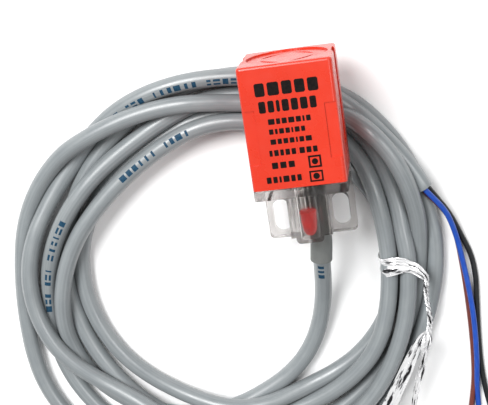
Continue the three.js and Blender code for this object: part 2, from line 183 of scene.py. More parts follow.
class Nodes:
    """Short calls for building a node tree round one shader."""

    def __init__(self, name):
        self.material = bpy.data.materials.new(name)
        self.material.use_nodes = True
        self.tree = self.material.node_tree
        self.shader = self.tree.nodes["Principled BSDF"]

    def add(self, kind, **values):
        made = self.tree.nodes.new(kind)
        for key, value in values.items():
            if key in made.inputs:
                made.inputs[key].default_value = value
            else:
                setattr(made, key, value)
        return made

    def link(self, source, target):
        self.tree.links.new(source, target)

    def object_coordinates(self):
        return self.add("ShaderNodeTexCoord").outputs["Object"]

    def uv_coordinates(self, scale):
        mapping = self.add("ShaderNodeMapping")
        mapping.inputs["Scale"].default_value = scale
        self.link(self.add("ShaderNodeTexCoord").outputs["UV"], mapping.inputs["Vector"])
        return mapping.outputs["Vector"]

    def noise(self, vector, scale, detail=3.0, roughness=0.5):
        made = self.add("ShaderNodeTexNoise", Scale=scale, Detail=detail, Roughness=roughness)
        self.link(vector, made.inputs["Vector"])
        return made.outputs["Fac"]

    def ramp(self, source, stops):
        made = self.add("ShaderNodeValToRGB")
        elements = made.color_ramp.elements
        while len(elements) < len(stops):
            elements.new(0.5)
        for element, (place, colour) in zip(elements, stops):
            element.position = place
            element.color = (*colour, 1)
        self.link(source, made.inputs["Fac"])
        return made.outputs["Color"]

    def spread(self, source, low, high):
        """A noise stretched to run from low to high."""
        made = self.add("ShaderNodeMapRange")
        made.inputs["From Min"].default_value = NOISE_LOW
        made.inputs["From Max"].default_value = NOISE_HIGH
        made.inputs["To Min"].default_value = low
        made.inputs["To Max"].default_value = high
        self.link(source, made.inputs["Value"])
        return made.outputs["Result"]

    def colour(self, source):
        self.link(source, self.shader.inputs["Base Color"])

    def mottle(self, source, dark, light):
        """A base colour that wanders between two tones."""
        self.colour(self.ramp(source, [(NOISE_LOW, dark), (NOISE_HIGH, light)]))

    def roughness(self, source):
        self.link(source, self.shader.inputs["Roughness"])

    def bump(self, source, distance, strength=1.0):
        """Adds a bump on top of those already there."""
        made = self.add("ShaderNodeBump", Strength=strength, Distance=distance)
        self.link(source, made.inputs["Height"])
        previous = self.shader.inputs["Normal"]
        if previous.is_linked:
            self.link(previous.links[0].from_socket, made.inputs["Normal"])
        self.link(made.outputs["Normal"], previous)

    def set(self, **values):
        """Values of the shader's own sockets, with _ for each space in a socket's name."""
        for key, value in values.items():
            self.shader.inputs[key.replace("_", " ")].default_value = value


def plastic(name, dark, light, patch, grain, rough, grain_height=4e-6):
    """Moulded or extruded plastic: soft patches of tone, fine grain and uneven gloss."""
    n = Nodes(name)
    place = n.object_coordinates()
    n.mottle(n.noise(place, patch, 4), dark, light)
    n.roughness(n.spread(n.noise(place, patch * 5, 3), *rough))
    n.bump(n.noise(place, grain, 2), grain_height)
    n.bump(n.noise(place, patch * 3, 3), grain_height * 5, 0.5)
    return n


def orange_housing():
    n = plastic("orange_moulding", (0.53, 0.026, 0.009), (0.60, 0.034, 0.012),
                45, 4200, (0.24, 0.34), 3e-6)
    n.set(IOR=1.52, Subsurface_Weight=0.08, Subsurface_Radius=(0.003, 0.0008, 0.0004),
          Subsurface_Scale=0.4)
    return n.material


def clear_plastic():
    """Clear moulding. Its IOR is lower than real plastic's, so that the lens in its bore shows wide."""
    n = Nodes("clear_moulding")
    place = n.object_coordinates()
    n.mottle(n.noise(place, 90, 3), (0.61, 0.590, 0.578), (0.70, 0.680, 0.668))
    n.roughness(n.spread(n.noise(place, 260, 3), 0.10, 0.22))
    n.bump(n.noise(place, 320, 4), 3.5e-5, 0.6)
    n.bump(n.noise(place, 2600, 2), 3e-6)
    n.set(Transmission_Weight=0.975, IOR=1.12)
    return n.material


def red_lens():
    """Tinted red lens with a painted glow: a weak red emission stands in for light passing through the
    tinted plastic.
    """
    n = Nodes("red_lens_plastic")
    place = n.object_coordinates()
    n.mottle(n.noise(place, 500, 3), (0.30, 0.003, 0.002), (0.40, 0.006, 0.004))
    n.roughness(n.spread(n.noise(place, 900, 2), 0.08, 0.2))
    n.bump(n.noise(place, 1500, 2), 6e-6)
    # The emission is a painted glow; the lens is no lamp.
    n.set(Transmission_Weight=0.10, IOR=1.5, Emission_Color=(1, 0.01, 0.006, 1),
          Emission_Strength=0.30)
    return n.material


def cable_jacket():
    """Grey PVC: lengthwise drawing streaks, faint rub marks and a soft sheen."""
    n = Nodes("grey_jacket_pvc")
    streaks = n.noise(n.uv_coordinates((26, 9, 1)), 1.0, 4)
    scuffs = n.noise(n.uv_coordinates((5, 160, 1)), 1.0, 5, 0.6)
    mix = n.add("ShaderNodeMix", data_type="RGBA")
    mix.blend_type = "MULTIPLY"
    mix.inputs["Factor"].default_value = 0.55
    tone = n.ramp(streaks, [(NOISE_LOW, (0.185, 0.203, 0.210)), (NOISE_HIGH, (0.245, 0.266, 0.274))])
    rubbed = n.ramp(scuffs, [(0.25, (0.80, 0.81, 0.84)), (0.6, (1, 1, 1))])
    n.link(tone, mix.inputs["A"])
    n.link(rubbed, mix.inputs["B"])
    n.colour(mix.outputs["Result"])
    n.roughness(n.spread(scuffs, 0.28, 0.42))
    n.bump(n.noise(n.uv_coordinates((60, 1500, 1)), 1.0, 3), 1.2e-5, 0.6)
    n.bump(streaks, 2e-5, 0.5)
    n.set(Specular_IOR_Level=0.75, Sheen_Weight=0.06)
    return n.material


def wire_insulation(name, dark, light):
    """Satin insulation with faint lengthwise streaks."""
    n = Nodes(name)
    along_wire = n.uv_coordinates((8, 400, 1))
    n.mottle(n.noise(along_wire, 1.0, 3), dark, light)
    n.roughness(n.spread(n.noise(along_wire, 2.5, 2), 0.30, 0.42))
    n.bump(n.noise(along_wire, 4.0, 2), 8e-6)
    return n.material


def foil():
    """Silver film creased along its length, with painted light and shade in its base colour: near black
    where a fold turns away, near white on the bright facets.
    """
    n = Nodes("silver_film")
    creases_and_painted_light = n.noise(n.uv_coordinates((3.2, 150, 1)), 1.0, 3, 0.55)
    # Painted light and shade: the ramp runs from painted shade on folds that turn away to painted
    # highlight on the bright facets.
    n.colour(n.ramp(creases_and_painted_light, [(0.39, (0.02, 0.02, 0.022)), (0.435, (0.30, 0.30, 0.31)),
                              (0.46, (0.95, 0.95, 0.96)), (0.7, (0.98, 0.98, 0.98))]))
    n.roughness(n.spread(n.noise(n.object_coordinates(), 700, 3), 0.14, 0.30))
    n.bump(creases_and_painted_light, 8e-4, 0.8)
    n.set(Metallic=0.5)
    return n.material


def metal(name, dark, light):
    """Drawn metal, uneven in tone and gloss."""
    n = Nodes(name)
    place = n.object_coordinates()
    n.mottle(n.noise(place, 1200, 4), dark, light)
    n.roughness(n.spread(n.noise(place, 2200, 3), 0.22, 0.38))
    n.bump(n.noise(place, 3500, 3), 8e-6, 0.6)
    n.set(Metallic=1.0)
    return n.material


def ink(name, dark, light):
    """Printing ink, slightly worn and uneven."""
    n = Nodes(name)
    place = n.object_coordinates()
    n.colour(n.ramp(n.noise(place, 1800, 4), [(0.3, dark), (0.75, light)]))
    n.roughness(n.spread(n.noise(place, 900, 2), 0.42, 0.6))
    n.bump(n.noise(place, 4000, 2), 3e-6)
    n.set(Specular_IOR_Level=0.12)
    return n.material


JACKET = cable_jacket()
ORANGE = orange_housing()
CLEAR = clear_plastic()
RED = red_lens()
RUBBER = plastic("grey_sleeve_rubber", (0.112, 0.118, 0.114), (0.145, 0.152, 0.147),
                 220, 5200, (0.42, 0.58), 8e-6).material
FOIL = foil()
LABEL_INK = ink("label_ink", (0.002, 0.0015, 0.0015), (0.010, 0.005, 0.004))
CABLE_INK = ink("cable_ink", (0.008, 0.035, 0.070), (0.022, 0.070, 0.120))
BLUE = wire_insulation("blue_insulation", (0.006, 0.046, 0.310), (0.014, 0.078, 0.420))
BROWN = wire_insulation("brown_insulation", (0.110, 0.024, 0.018), (0.170, 0.042, 0.030))
BLACK = wire_insulation("black_insulation", (0.005, 0.0055, 0.006), (0.015, 0.016, 0.018))
TINNED = metal("tinned_copper", (0.62, 0.60, 0.57), (0.82, 0.80, 0.77))

CAD_MATERIALS = {
    "housing": ORANGE,
    "mounting_base": CLEAR,
    "led_lead_anode": TINNED,
    "led_lead_cathode": TINNED,
    "strain_relief": RUBBER,
    "ferrite_core": plastic("ferrite", (0.030, 0.028, 0.027), (0.070, 0.066, 0.062),
                            900, 5200, (0.5, 0.7), 2e-5).material,
    "coil_bobbin": plastic("bobbin_moulding", (0.62, 0.60, 0.54), (0.74, 0.72, 0.66),
                           120, 4200, (0.35, 0.5)).material,
    "coil_winding": metal("enamelled_copper", (0.60, 0.22, 0.09), (0.80, 0.34, 0.15)),
    "circuit_board": plastic("board_laminate", (0.020, 0.135, 0.060), (0.040, 0.200, 0.090),
                             160, 2600, (0.3, 0.45), 1e-5).material,
    "potting_resin": plastic("cast_resin", (0.100, 0.090, 0.105), (0.190, 0.175, 0.190),
                             140, 2400, (0.25, 0.5), 2e-5).material,
    "inner_wire_brown": BROWN,
    "inner_wire_blue": BLUE,
    "inner_wire_black": BLACK,
}
EPOXY = plastic("black_package_epoxy", (0.018, 0.018, 0.019), (0.040, 0.040, 0.042),
                300, 3600, (0.45, 0.6), 1e-5).material
CERAMIC = plastic("component_ceramic", (0.52, 0.38, 0.24), (0.66, 0.50, 0.34),
                  400, 3600, (0.4, 0.6), 1e-5).material
for name in ("oscillator_ic", "output_transistor", "surge_diode", "reverse_diode"):
    CAD_MATERIALS[name] = EPOXY
for name in ("sensitivity_resistor", "led_resistor", "tuning_capacitor", "supply_capacitor"):
    CAD_MATERIALS[name] = CERAMIC

for name, material in CAD_MATERIALS.items():
    for slot in nodes[name].material_slots:
        slot.material = material

# ---- Cable --------------------------------------------------------------------------------

CABLE_R = 2.5
CABLE_D = 2 * CABLE_R
FLOOR_Z = -23.4
REST_Z = FLOOR_Z + CABLE_R  # the centreline's height where the cable lies on the floor
UNDERSIDE_Z = -12.5  # underside of the sensor
SENSOR_HALF_WIDTH = 13.2  # with a little room, as is SENSOR_END
SENSOR_END = -53.2
SENSOR_ROOM = 0.1  # between the sensor and a cable that passes under it
COIL_CENTRE = np.array([-28.0, -62.5])

# Down the middle of the gland and the sleeve, then down to the floor.
LEAD = [
    (2, -30.5, -6), (2, -42, -6), (2, -49, -6), (2, -53, -6), (1.2, -59.2, -6.9),
    (0.5, -66.4, -9.4), (-0.4, -73.5, -13.0), (-2.1, -80.6, -16.4), (-4.6, -87.4, -19.2),
    (-7.8, -93.2, -20.6), (-12.4, -97.8, -20.9), (-16.4, -101.0, -20.9),
]

# The turns, clockwise seen from above: angle about the coil's centre in degrees, radius,
# and layer, where 0 lies on the floor and 1 lies on one thickness of cable.
TURNS = [
    [(-84, 42.6, 0), (-95, 45.8, 0), (-110, 50.2, 0), (-130, 54.3, 0), (-145, 55.8, 0),
     (-155, 55.6, 0.3), (-164, 53.6, 0.8), (-180, 49.5, 1), (-198, 45.2, 0.9),
     (-217, 41.4, 0.8), (-235, 40.3, 0.8), (-251, 41, 0.8), (-269, 44.0, 0.9),
     (-290, 46.3, 0.8), (-315, 47.8, 0.3), (-340, 49.6, 0), (-360, 50.4, 0), (-380, 49.8, 0),
     (-400, 47.8, 0), (-413, 46.0, 0), (-426, 44.2, 0), (-438, 43.6, 0.2)],
    [(-449, 43.9, 1), (-462, 43.7, 0.9), (-475, 43.4, 0.3), (-492, 43.9, 0), (-510, 44.4, 0),
     (-531, 44.6, 0), (-550, 44.6, 0), (-572, 43.6, 0), (-590, 42.8, 0), (-610, 43.4, 0),
     (-630, 46.2, 0), (-650, 48.6, 0), (-668, 50.8, 0), (-682, 51.4, 0.2), (-691, 50.3, 0.6),
     (-702, 48.6, 0.9), (-713, 47.7, 1), (-733, 47.7, 1), (-748, 49.0, 0.9), (-758, 49.8, 0.8),
     (-770, 49.4, 0.6), (-788, 49.2, 0.3)],
    [(-815, 49.8, 0.6), (-832, 50.2, 1), (-850, 50.4, 0.5), (-870, 50.2, 0), (-887, 49.6, 0),
     (-905, 49.6, 0), (-930, 49.8, 0), (-955, 51.4, 0), (-980, 54.5, 0), (-1000, 57.0, 0),
     (-1020, 59.2, 0), (-1031, 60.1, 0), (-1040, 60.6, 0), (-1053, 60.5, 0), (-1072, 60.2, 0),
     (-1087, 60.0, 0), (-1108, 59.9, 0), (-1117, 60.4, 0), (-1128, 62.3, 0), (-1150, 65, 0),
     (-1170, 67, 0)],
    [(-1190, 70, 0), (-1210, 72, 0), (-1231, 70.6, 0), (-1249, 65.2, 0), (-1263, 62.4, 0),
     (-1283, 60.8, 0), (-1301, 57.8, 0.6), (-1318, 54, 1), (-1337, 51.6, 1.1),
     (-1350, 50.7, 1.15), (-1363, 50.5, 1.1), (-1375, 52.4, 1.1), (-1386, 56.2, 1.3),
     (-1394, 58.8, 1.8), (-1401, 60.0, 1.95), (-1408, 59.8, 1.95), (-1416, 59.2, 1.9),
     (-1420, 58.8, 1.8), (-1425, 58.0, 1.55), (-1430, 57.2, 1.2), (-1436, 56.4, 0.7),
     (-1443, 55.8, 0.2), (-1450, 55.4, 0), (-1470, 55.4, 0),
     (-1500, 56.4, 0), (-1525, 58.6, 0), (-1550, 61.6, 0)],
    [(-1570, 63, 0), (-1590, 61.5, 0), (-1603, 58.9, 0), (-1616, 55.8, 0), (-1629, 52.8, 0.5),
     (-1644, 49.6, 0.95), (-1663, 46.6, 1), (-1685, 45.2, 0.9), (-1700, 47.0, 0.7),
     (-1715, 49.4, 0.3), (-1730, 51.6, 0), (-1745, 54.6, 0), (-1756, 56.6, 0.2),
     (-1763, 56.5, 0.4), (-1771, 55.7, 0.7), (-1779, 54.9, 0.9), (-1789, 54.1, 1),
     (-1800, 54.0, 1), (-1813, 54.4, 1), (-1832, 56.1, 1), (-1842, 57.2, 1), (-1851, 58.6, 1),
     (-1865, 58.8, 1), (-1885, 56.8, 1)],
    [(-1905, 53.0, 1.4), (-1915, 50.4, 1.9), (-1927, 49.0, 1.9), (-1941, 51.6, 1.2),
     (-1958, 57.2, 1), (-1971, 59.8, 1), (-1984, 60.0, 1), (-1996, 58.6, 1), (-2010, 56.0, 0.7),
     (-2023, 55.2, 0.3), (-2038, 56.0, 0.3), (-2054, 56.4, 0.7), (-2080, 57.2, 1),
     (-2100, 59.4, 1), (-2110, 59.9, 1), (-2120, 60.3, 1), (-2130, 60.9, 1),
     (-2137, 61.6, 1), (-2142, 62.2, 1), (-2149.5, 63.3, 0.9)],
]
FIRST_ANGLE = TURNS[0][0][0]
ANGLE_STEP = 2.0
ROUTE_STEP = 2.6

# Smoothing of the plan. The stretch held in the base and the sleeve stays as it is planned,
# and the smoothed line takes over gradually beyond it.
FIXED_LENGTH = 22
HELD_LENGTH = 24
TAKEOVER_LENGTH = 24
PLAN_STIFFNESS = 40
SHARPENINGS = 2  # rounds that give back some of what the smoothing took away

# Which stretches may touch: far enough apart along the cable and near enough seen from above.
# Their planned lift over each other says whether they lie side by side or stacked.
PAIR_SPACING = 4 * CABLE_D
PAIR_REACH = 9
BESIDE_LIFT = 0.8
STACKING_LIFT = 1.6

# Settling. Each round pulls the line back to its plan from above, lets it fall and pushes
# overlapping stretches apart. The last rounds only push apart, with a slight smoothing.
ROUNDS = 240
LAST_ROUNDS = 14
PUSHES = 2
SIDEWAYS_STIFFNESS = 400
UPRIGHT_STIFFNESS = 20
LAST_STIFFNESS = 1.5
SIDEWAYS_KEPT = 0.985  # share of a sideways shift that outlasts a round
FALL = 0.12
SIDEWAYS_SLIP = 0.02  # sideways share of a push between stacked stretches
OVERSHOOT = 1.1
TINY = 1e-9

# The drawn cable follows every third point of the settled route.
ROUTE_THINNING = 3
CABLE_LINE_STEP = 1.5
CABLE_SIDES = 24


def eased(angles, values, at):
    """Cubic interpolation of values over decreasing angles."""
    x, q = -np.asarray(angles), -np.asarray(at)
    slope = np.gradient(values, x)
    i = np.clip(np.searchsorted(x, q, side="right") - 1, 0, len(x) - 2)
    h = x[i + 1] - x[i]
    s = (q - x[i]) / h
    return ((2 * s**3 - 3 * s**2 + 1) * values[i] + (s**3 - 2 * s**2 + s) * h * slope[i]
            + (-2 * s**3 + 3 * s**2) * values[i + 1] + (s**3 - s**2) * h * slope[i + 1])


def stiffness(count, amount):
    """A matrix that smooths a line of that many points as bending stiffness does."""
    bend = np.zeros((count - 2, count))
    k = np.arange(count - 2)
    bend[k, k], bend[k, k + 1], bend[k, k + 2] = 1, -2, 1
    return np.linalg.inv(np.eye(count) + amount * (bend.T @ bend))


def planned_route():
    """The lead and the turns as one smooth, evenly spaced line."""
    rows = np.array([row for turn in TURNS for row in turn], float)
    angles = np.arange(rows[0, 0], rows[-1, 0], -ANGLE_STEP)
    radius = eased(rows[:, 0], rows[:, 1], angles)
    layer = np.maximum(eased(rows[:, 0], rows[:, 2], angles), 0)
    turn = np.radians(angles)
    turns = np.stack([COIL_CENTRE[0] + radius * np.cos(turn),
                      COIL_CENTRE[1] + radius * np.sin(turn),
                      REST_Z + CABLE_D * layer], axis=1)
    plan = respaced(np.vstack([np.array(LEAD, float), turns]), ROUTE_STEP)
    smooth = stiffness(len(plan), PLAN_STIFFNESS)
    even = smooth @ plan
    for _ in range(SHARPENINGS):
        even = even + smooth @ (plan - even)
    beyond = np.arange(len(plan)) * ROUTE_STEP - HELD_LENGTH
    share = np.clip(beyond / TAKEOVER_LENGTH, 0, 1)[:, None]
    plan = plan * (1 - share) + even * share
    plan[:, 2] = np.maximum(plan[:, 2], REST_Z)
    return plan


def touching_pairs(plan):
    """Pairs of points that may touch, with the sign of the first one's lift over the second and
    how far they are stacked, from 0, side by side, to 1, one above the other."""
    i, j = np.triu_indices(len(plan), int(np.ceil(PAIR_SPACING / ROUTE_STEP)))
    near = np.linalg.norm(plan[i, :2] - plan[j, :2], axis=1) < PAIR_REACH
    i, j = i[near], j[near]
    lift = plan[i, 2] - plan[j, 2]
    order = np.where(lift >= 0, 1.0, -1.0)
    stacked = np.clip((np.abs(lift) - BESIDE_LIFT) / STACKING_LIFT, 0, 1)
    return i, j, order, stacked


def pushed_apart(line, pairs):
    """The line with overlapping points moved apart: up and down if stacked, else sideways."""
    i, j, order, stacked = pairs
    gap = line[i] - line[j]
    flat = np.linalg.norm(gap[:, :2], axis=1) + TINY
    apart = np.sqrt(flat**2 + gap[:, 2] ** 2)
    wrong = (gap[:, 2] * order < 0) & (stacked > 0)
    hit = (flat < CABLE_D) & ((apart < CABLE_D) | wrong)
    if not hit.any():
        return line
    needed = np.sqrt(np.maximum(CABLE_D**2 - flat[hit] ** 2, 0))
    rise = np.maximum(needed - gap[hit, 2] * order[hit], 0)
    squeeze = np.maximum(CABLE_D - apart[hit], 0)
    over = stacked[hit]
    push = np.zeros((hit.sum(), 3))
    push[:, 2] = 0.5 * order[hit] * rise * over
    out = 0.5 * squeeze * (1 - over) + SIDEWAYS_SLIP * np.minimum(rise, 1) * over
    push[:, :2] = out[:, None] * gap[hit, :2] / flat[hit, None]
    total, met = np.zeros_like(line), np.zeros(len(line))
    np.add.at(total, i[hit], push)
    np.add.at(total, j[hit], -push)
    np.add.at(met, i[hit], 1)
    np.add.at(met, j[hit], 1)
    return line + OVERSHOOT * total / np.maximum(met, 1)[:, None]


def kept_clear(line, fixed):
    """The line on or above the floor, and below the sensor where it passes under it."""
    line[:, 2] = np.maximum(line[:, 2], REST_Z)
    under = (np.abs(line[:, 0]) < SENSOR_HALF_WIDTH) & (line[:, 1] > SENSOR_END)
    under[:fixed] = False
    line[under, 2] = np.minimum(line[under, 2], UNDERSIDE_Z - CABLE_R - SENSOR_ROOM)
    return line


def cable_route():
    """The cable's centreline: the planned turns, settled under gravity on each other and the floor."""
    plan = planned_route()
    pairs = touching_pairs(plan)
    count = len(plan)
    fixed = int(FIXED_LENGTH / ROUTE_STEP) + 2
    sideways = stiffness(count, SIDEWAYS_STIFFNESS)
    upright = stiffness(count, UPRIGHT_STIFFNESS)
    slight = stiffness(count, LAST_STIFFNESS)
    line = plan.copy()
    for step in range(ROUNDS):
        if step < ROUNDS - LAST_ROUNDS:
            shift = line[:, :2] - plan[:, :2]
            line[:, :2] = plan[:, :2] + SIDEWAYS_KEPT * (sideways @ shift)
            line[:, 2] = upright @ line[:, 2] - FALL
        else:
            line[:, 2] = slight @ line[:, 2]
        for _ in range(PUSHES):
            line = kept_clear(pushed_apart(line, pairs), fixed)
        line[:fixed] = plan[:fixed]
    return line


cable_line = spline(cable_route()[::ROUTE_THINNING], CABLE_LINE_STEP)
cable = tube("cable", cable_line, CABLE_R, CABLE_SIDES,
             start_profile=[(0.9, 0.1)],
             end_profile=[(0.97, 0.12), (0.80, 0.16), (0.78, -0.5), (0.3, -0.55)])
finish_piece(cable, JACKET)
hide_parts("cable_lead", "cable_coil", "cable_tail")

# ---- Foil tie -----------------------------------------------------------------------------

PLEAT_LENGTH = 3.5
PLEATS = range(2, 6)  # numbers of pleats across, laid over each other
PLEAT_PITCH = 1.5
PLEAT_SHARE = 0.7
CRUMPLE_SHARE = 0.25
EDGE_CALM = 0.3  # how much flatter the film is at its edges


def ribbon(mesh, line, widths, tilt, crinkle, rng, across=10, axis=None):
    """Adds a crumpled strip of film along a line to the mesh. Widths and tilt run from its start
    to its end. axis is the direction across the strip where the line itself rises and falls."""
    tangent, up, side = frames_of(line)
    t = np.linspace(0, 1, len(line))
    half = np.interp(t, np.linspace(0, 1, len(widths)), widths) / 2
    lean = np.interp(t, np.linspace(0, 1, len(tilt)), tilt)
    points, faces, uv = mesh
    start = len(points)
    s = along(line)
    u = np.linspace(-1, 1, across + 1)
    # A little crumpling, then long pleats that drift slowly from side to side.
    folds = CRUMPLE_SHARE * rng.normal(0, 1, (len(line), across + 1))
    bends = np.arange(0, s[-1] + PLEAT_LENGTH, PLEAT_LENGTH)
    for pleats in PLEATS:
        drift = np.interp(s, bends, rng.uniform(-2, 2, len(bends)))
        folds += PLEAT_SHARE * np.cos(pleats * PLEAT_PITCH * u[None, :] + drift[:, None])
    shift = len(faces)  # moves the strip's UVs, so that its creases differ from the others'
    for k in range(len(line)):
        if axis is None:
            flat = math.cos(lean[k]) * side[k] + math.sin(lean[k]) * up[k]
        else:
            flat = axis - np.dot(axis, tangent[k]) * tangent[k]
            flat /= np.linalg.norm(flat)
        lift = np.cross(flat, tangent[k])
        for a in range(across + 1):
            edge = 1 - EDGE_CALM * abs(u[a])
            points.append(line[k] + u[a] * half[k] * flat + crinkle * folds[k, a] * edge * lift)
    for k in range(len(line) - 1):
        for a in range(across):
            c = start + k * (across + 1) + a
            faces.append((c, c + 1, c + across + 2, c + across + 1))
            left, right = shift + a / across, shift + (a + 1) / across
            low, high = s[k] * MM, s[k + 1] * MM
            uv += [(left, low), (right, low), (right, high), (left, high)]


def twist_tie():
    rng = np.random.default_rng(11)
    mesh = [], [], []
    # Band round the inner strands: up on the inside, over the top and down on the outside.
    band = spline([(17.4, -66.4, -22.2), (16.9, -66.4, -20.0), (17.0, -66.4, -16.6),
                   (18.0, -66.3, -14.2), (20.6, -66.0, -13.0), (23.8, -65.9, -12.9),
                   (26.6, -67.0, -12.9), (29.0, -69.4, -13.6), (30.2, -71.0, -15.0)], 0.5)
    ribbon(mesh, band, [5.6, 6.0, 5.6, 4.6, 3.4, 2.6, 2.0], [0], 0.14, rng, 12,
           np.array([-0.06, 1.0, 0.0]))
    fold = spline([(17.4, -64.2, -14.2), (20.2, -63.9, -12.7), (23.8, -64.3, -12.4),
                   (27.4, -66.3, -12.5), (29.6, -69.6, -12.9), (29.9, -71.6, -13.2)], 0.5)
    ribbon(mesh, fold, [1.0, 1.9, 2.3, 2.2, 1.8, 1.2], [0.5, -0.4, 0.5], 0.22, rng, 6)
    # Twisted neck: two strips wound round each other.
    neck = spline([(29.6, -70.6, -13.4), (29.2, -75.3, -12.5), (29.4, -79.0, -12.3),
                   (29.4, -82.7, -12.1), (28.9, -85.4, -12.0), (27.9, -88.6, -12.0)], 0.3)
    for phase in (0, math.pi / 2):
        ribbon(mesh, neck, [1.9, 1.5, 1.5, 1.7, 2.2], [phase, phase + 20], 0.12, rng, 4)
    # Crumpled knot where the strips part.
    knot = spline([(28.6, -86.0, -12.2), (28.0, -88.6, -11.7), (27.0, -91.4, -12.0),
                   (26.6, -93.2, -12.3)], 0.4)
    for phase in (0, 1.0, 2.1):
        ribbon(mesh, knot, [1.2, 3.0, 2.8, 1.8], [phase, phase + 1.4], 0.42, rng, 6)
    # Two tails lying over the strands.
    wide = spline([(27.8, -86.2, -12.2), (25.6, -88.8, -12.4), (20.9, -97.8, -12.9),
                   (14.9, -108.8, -13.6), (11.8, -114.6, -15.0)], 0.6)
    ribbon(mesh, wide, [1.0, 3.0, 3.8, 3.9, 4.2, 4.4], [0.1, 0.0, -0.1], 0.07, rng)
    narrow = spline([(27.2, -90.4, -12.1), (26.4, -94.6, -12.1), (23.9, -101.8, -12.7),
                     (21.8, -109.4, -13.5), (20.6, -114.4, -15.0)], 0.5)
    ribbon(mesh, narrow, [2.4, 3.0, 2.6, 2.2, 2.4], [1.0, 0.7, 1.1, 0.8], 0.26, rng, 8)
    ribbon(mesh, narrow + np.array([0.3, 0.2, 0.3]), [1.0, 1.7, 1.5, 1.2],
           [-0.6, -0.9, -0.5], 0.22, rng, 5)
    return make_object("foil_tie", *mesh)


tie = finish_piece(twist_tie(), FOIL)
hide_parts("twist_tie")

# ---- Cable printing -----------------------------------------------------------------------

PRINT_LIFT = 0.015  # above the jacket
PATCH_ROWS, PATCH_COLUMNS = 3, 4  # faces along and round a patch
MARK_HALF_TURN = 0.36  # a mark's half width round the cable, in radians
SPLIT_PLACE = 0.23  # how far round the cable each half of a split mark lies from its middle
SPLIT_HALF_TURN = 0.13
THIN_SHARE = 0.45  # length of a thin mark as a share of a whole one
MARK_GAP = 0.7
GROUP_GAP = 2.4  # added between groups
LEAD_END = 110  # along the cable, just inside the first turn

# Generic marks on the jacket: (angle in TURNS where they start, angle where they end, turn
# about the cable from its top, in radians).
MARKED = [(-1968, -2012, 2.6), (-2036, -2078, 0.35), (-1612, -1640, 0.1), (-230, -256, -0.1)]

# Marks on the straight part of the lead: distance along it of each mark's start and end.
LEAD_MARKS = [(30.6, 31.8), (32.6, 33.5), (34.3, 35.9)]
LEAD_MARK_TURN = 0.1


def wrapped_patch(mesh, centre, half_length, turn, half_turn):
    """Adds a small printed patch to the mesh, on the cable's surface. centre is a length along it."""
    points, faces = mesh
    s = along(cable_line)
    at = np.linspace(centre - half_length, centre + half_length, PATCH_ROWS + 1)
    middle = np.stack([np.interp(at, s, cable_line[:, k]) for k in range(3)], axis=1)
    _, up, side = frames_of(middle)
    start = len(points)
    turns = np.linspace(turn - half_turn, turn + half_turn, PATCH_COLUMNS + 1)
    for k in range(PATCH_ROWS + 1):
        points.extend(ring_of(middle[k], up[k], side[k], CABLE_R + PRINT_LIFT, turns))
    for r in range(PATCH_ROWS):
        for c in range(PATCH_COLUMNS):
            a = start + r * (PATCH_COLUMNS + 1) + c
            faces.append((a, a + 1, a + PATCH_COLUMNS + 2, a + PATCH_COLUMNS + 1))


def length_at(angle):
    """How far along the cable it reaches that angle of TURNS, which counts whole turns too."""
    offset = cable_line[:, :2] - COIL_CENTRE
    turn = np.degrees(np.unwrap(np.arctan2(offset[:, 1], offset[:, 0])))
    s = along(cable_line)
    start = int(np.argmax(s > LEAD_END))
    turn -= 360 * round((turn[start] - FIRST_ANGLE) / 360)
    return s[start + int(np.argmin(np.abs(turn[start:] - angle)))]


def cable_print():
    """Plain whole, split and thin marks in random groups, in place of lettering."""
    rng = np.random.default_rng(5)
    mesh = [], []
    for first, last in LEAD_MARKS:
        wrapped_patch(mesh, (first + last) / 2, (last - first) / 2, LEAD_MARK_TURN, MARK_HALF_TURN)
    for first, last, turn in MARKED:
        at, end = length_at(first), length_at(last)
        while at < end:
            for _ in range(int(rng.integers(3, 8))):
                half = float(rng.choice([0.6, 0.8, 1.0]))
                kind = rng.random()
                if kind < 0.5:
                    wrapped_patch(mesh, at + half, half, turn, MARK_HALF_TURN)
                elif kind < 0.8:
                    wrapped_patch(mesh, at + half, half, turn - SPLIT_PLACE, SPLIT_HALF_TURN)
                    wrapped_patch(mesh, at + half, half, turn + SPLIT_PLACE, SPLIT_HALF_TURN)
                else:
                    wrapped_patch(mesh, at + half, half * THIN_SHARE, turn, MARK_HALF_TURN)
                at += 2 * half + MARK_GAP
            at += GROUP_GAP
    return make_object("cable_print", *mesh)


marks = finish_piece(cable_print(), CABLE_INK)

# ---- Stripped wires -----------------------------------------------------------------------

WIRE_R = 0.8
WIRE_SIDES = 16
WIRE_STEP = 0.8
WIRE_FLOOR = FLOOR_Z + WIRE_R
BACK_IN_JACKET = 1.2
OUT_OF_JACKET = 1.0
jacket_end = cable_line[-1]
jacket_way = cable_line[-1] - cable_line[-3]
jacket_way = jacket_way / np.linalg.norm(jacket_way)
jacket_side = np.array([jacket_way[1], -jacket_way[0], 0])

